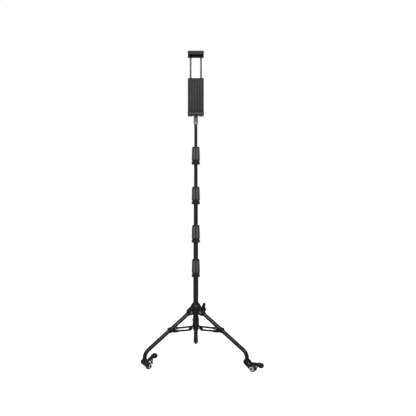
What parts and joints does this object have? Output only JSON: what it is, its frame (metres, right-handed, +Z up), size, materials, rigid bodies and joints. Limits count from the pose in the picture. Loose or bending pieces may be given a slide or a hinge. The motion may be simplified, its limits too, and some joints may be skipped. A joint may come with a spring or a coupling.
{
  "type": "telescopic tripod stand",
  "caption": "Rolling telescopic tripod stand: folding cranked legs on braked casters, a twist-lock column and a spring holder for a tablet.",
  "frame": {"origin": "on the column's axis at floor level", "axes": "+Z up along the column, -Y the way the holder faces, +X to the right as seen from the front"},
  "size_m": [0.3813, 0.369, 1.014],
  "materials": {
    "anodised": "black anodised, satin",
    "powder_coat": "black powder coat over steel tube, satin",
    "lock_plastic": "dark grey moulded ABS, matte",
    "nylon": "black moulded nylon",
    "steel_pin": "plain steel rivets and screws",
    "neck_metal": "satin turned aluminium",
    "holder_plastic": "black moulded ABS",
    "pad_rubber": "grey rubber cushion",
    "rod_steel": "polished steel rods",
    "wheel_nylon": "pale grey moulded nylon wheel"
  },
  "bodies": {
    "column": {"column_tube_1": "anodised", "lower_collar": "nylon", "lower_collar_pins": "steel_pin", "column_end_cap": "nylon", "twist_lock_1_base": "lock_plastic", "twist_lock_1_collet": "nylon"},
    "hub": {"leg_hub": "nylon", "leg_hub_pins": "steel_pin"},
    "hub_knob": {"hub_knob": "nylon", "hub_knob_screw": "steel_pin"},
    "section_2": {"column_tube_2": "anodised", "tube_2_plug": "nylon", "twist_lock_2_base": "lock_plastic", "twist_lock_2_collet": "nylon"},
    "section_3": {"column_tube_3": "anodised", "tube_3_plug": "nylon", "twist_lock_3_base": "lock_plastic", "twist_lock_3_collet": "nylon"},
    "section_4": {"column_tube_4": "anodised", "tube_4_plug": "nylon", "twist_lock_4_base": "lock_plastic", "twist_lock_4_collet": "nylon"},
    "section_5": {"column_tube_5": "anodised", "tube_5_plug": "nylon"},
    "lock_1_grip": {"twist_lock_1_grip": "lock_plastic"},
    "lock_2_grip": {"twist_lock_2_grip": "lock_plastic"},
    "lock_3_grip": {"twist_lock_3_grip": "lock_plastic"},
    "lock_4_grip": {"twist_lock_4_grip": "lock_plastic"},
    "leg_left": {"leg_left_tube": "powder_coat", "leg_left_knuckle": "nylon", "leg_left_saddle": "nylon", "leg_left_socket": "nylon"},
    "strut_left": {"strut_left": "nylon"},
    "caster_left": {"caster_left_yoke": "nylon"},
    "wheel_left": {"caster_left_wheel": "wheel_nylon"},
    "pedal_left": {"caster_left_pedal": "nylon"},
    "leg_right": {"leg_right_tube": "powder_coat", "leg_right_knuckle": "nylon", "leg_right_saddle": "nylon", "leg_right_socket": "nylon"},
    "strut_right": {"strut_right": "nylon"},
    "caster_right": {"caster_right_yoke": "nylon"},
    "wheel_right": {"caster_right_wheel": "wheel_nylon"},
    "pedal_right": {"caster_right_pedal": "nylon"},
    "leg_rear": {"leg_rear_tube": "powder_coat", "leg_rear_knuckle": "nylon", "leg_rear_saddle": "nylon", "leg_rear_socket": "nylon"},
    "strut_rear": {"strut_rear": "nylon"},
    "caster_rear": {"caster_rear_yoke": "nylon"},
    "wheel_rear": {"caster_rear_wheel": "wheel_nylon"},
    "pedal_rear": {"caster_rear_pedal": "nylon"},
    "head_neck": {"head_neck": "neck_metal", "head_ball": "rod_steel"},
    "holder": {"holder_body": "holder_plastic", "holder_lower_pad": "pad_rubber"},
    "head_lock_ring": {"head_lock_ring": "holder_plastic"},
    "upper_jaw": {"holder_rods": "rod_steel", "holder_upper_jaw": "holder_plastic", "holder_upper_pad": "pad_rubber"}
  },
  "joints": [
    {"name": "lock_1_turn", "type": "hinge", "parent": "column", "child": "lock_1_grip", "pos_m": [0, 0, 0.3095], "axis": [0, 0, 1], "range_deg": [0, 110]},
    {"name": "section_2_slide", "type": "slide", "parent": "column", "child": "section_2", "axis": [0, 0, 1], "range_m": [-0.053, 0.06]},
    {"name": "lock_2_turn", "type": "hinge", "parent": "section_2", "child": "lock_2_grip", "pos_m": [0, 0, 0.4225], "axis": [0, 0, 1], "range_deg": [0, 110]},
    {"name": "section_3_slide", "type": "slide", "parent": "section_2", "child": "section_3", "axis": [0, 0, 1], "range_m": [-0.0665, 0.0465]},
    {"name": "lock_3_turn", "type": "hinge", "parent": "section_3", "child": "lock_3_grip", "pos_m": [0, 0, 0.549], "axis": [0, 0, 1], "range_deg": [0, 110]},
    {"name": "section_4_slide", "type": "slide", "parent": "section_3", "child": "section_4", "axis": [0, 0, 1], "range_m": [-0.0715, 0.0415]},
    {"name": "lock_4_turn", "type": "hinge", "parent": "section_4", "child": "lock_4_grip", "pos_m": [0, 0, 0.6805], "axis": [0, 0, 1], "range_deg": [0, 110]},
    {"name": "section_5_slide", "type": "slide", "parent": "section_4", "child": "section_5", "axis": [0, 0, 1], "range_m": [-0.0718, 0.0575]},
    {"name": "hub_slide", "type": "slide", "parent": "column", "child": "hub", "axis": [0, 0, 1], "range_m": [0, 0.084]},
    {"name": "hub_knob_turn", "type": "hinge", "parent": "hub", "child": "hub_knob", "pos_m": [0.01732, 0.01, 0.169], "axis": [0.866, 0.5, 0], "range_deg": [0, 360]},
    {"name": "leg_left_fold", "type": "hinge", "parent": "hub", "child": "leg_left", "pos_m": [-0.01905, -0.011, 0.1658], "axis": [0.5, -0.866, 0], "range_deg": [0, 23.98]},
    {"name": "strut_left_fold", "type": "hinge", "parent": "column", "child": "strut_left", "pos_m": [-0.01342, -0.00775, 0.115], "axis": [-0.5, 0.866, 0], "range_deg": [0, 47.8]},
    {"name": "caster_left_swivel", "type": "hinge", "parent": "leg_left", "child": "caster_left", "pos_m": [-0.15935, -0.092, 0.03], "axis": [0, 0, 1], "continuous": true},
    {"name": "wheel_left_spin", "type": "hinge", "parent": "caster_left", "child": "wheel_left", "pos_m": [-0.14834, -0.07713, 0.0105], "axis": [-0.8039, 0.5948, 0], "continuous": true},
    {"name": "pedal_left_press", "type": "hinge", "parent": "caster_left", "child": "pedal_left", "pos_m": [-0.1534, -0.08396, 0.0258], "axis": [-0.8039, 0.5948, 0], "range_deg": [0, 15.5]},
    {"name": "leg_right_fold", "type": "hinge", "parent": "hub", "child": "leg_right", "pos_m": [0.01905, -0.011, 0.1658], "axis": [0.5, 0.866, 0], "range_deg": [0, 23.98]},
    {"name": "strut_right_fold", "type": "hinge", "parent": "column", "child": "strut_right", "pos_m": [0.01342, -0.00775, 0.115], "axis": [-0.5, -0.866, 0], "range_deg": [0, 47.8]},
    {"name": "caster_right_swivel", "type": "hinge", "parent": "leg_right", "child": "caster_right", "pos_m": [0.15935, -0.092, 0.03], "axis": [0, 0, 1], "continuous": true},
    {"name": "wheel_right_spin", "type": "hinge", "parent": "caster_right", "child": "wheel_right", "pos_m": [0.17478, -0.10221, 0.0105], "axis": [0.5519, 0.8339, 0], "continuous": true},
    {"name": "pedal_right_press", "type": "hinge", "parent": "caster_right", "child": "pedal_right", "pos_m": [0.16769, -0.09752, 0.0258], "axis": [0.5519, 0.8339, 0], "range_deg": [-15.5, 0]},
    {"name": "leg_rear_fold", "type": "hinge", "parent": "hub", "child": "leg_rear", "pos_m": [0, 0.022, 0.1658], "axis": [-1, 0, 0], "range_deg": [0, 23.98]},
    {"name": "strut_rear_fold", "type": "hinge", "parent": "column", "child": "strut_rear", "pos_m": [0, 0.0155, 0.115], "axis": [1, 0, 0], "range_deg": [0, 47.8]},
    {"name": "caster_rear_swivel", "type": "hinge", "parent": "leg_rear", "child": "caster_rear", "pos_m": [0, 0.184, 0.03], "axis": [0, 0, 1], "continuous": true},
    {"name": "wheel_rear_spin", "type": "hinge", "parent": "caster_rear", "child": "wheel_rear", "pos_m": [0, 0.2025, 0.0105], "axis": [-1, 0, 0], "continuous": true},
    {"name": "pedal_rear_press", "type": "hinge", "parent": "caster_rear", "child": "pedal_rear", "pos_m": [0, 0.194, 0.0258], "axis": [-1, 0, 0], "range_deg": [0, 15.5]},
    {"name": "head_pan", "type": "hinge", "parent": "section_5", "child": "head_neck", "pos_m": [0, 0, 0.7823], "axis": [0, 0, 1], "continuous": true},
    {"name": "holder_tilt", "type": "hinge", "parent": "head_neck", "child": "holder", "pos_m": [0, 0, 0.8273], "axis": [1, 0, 0], "range_deg": [-22, 22]},
    {"name": "lock_ring_turn", "type": "hinge", "parent": "holder", "child": "head_lock_ring", "pos_m": [0, 0, 0.8273], "axis": [0, 0, 1], "range_deg": [0, 90]},
    {"name": "upper_jaw_slide", "type": "slide", "parent": "holder", "child": "upper_jaw", "axis": [0, 0, 1], "range_m": [-0.066, 0.02]}
  ],
  "couplings": [
    {"joint": "leg_left_fold", "follows": "hub_slide", "rad_per_m": 4.9824},
    {"joint": "strut_left_fold", "follows": "hub_slide", "rad_per_m": 9.932},
    {"joint": "leg_right_fold", "follows": "hub_slide", "rad_per_m": 4.9824},
    {"joint": "strut_right_fold", "follows": "hub_slide", "rad_per_m": 9.932},
    {"joint": "leg_rear_fold", "follows": "hub_slide", "rad_per_m": 4.9824},
    {"joint": "strut_rear_fold", "follows": "hub_slide", "rad_per_m": 9.932}
  ]
}
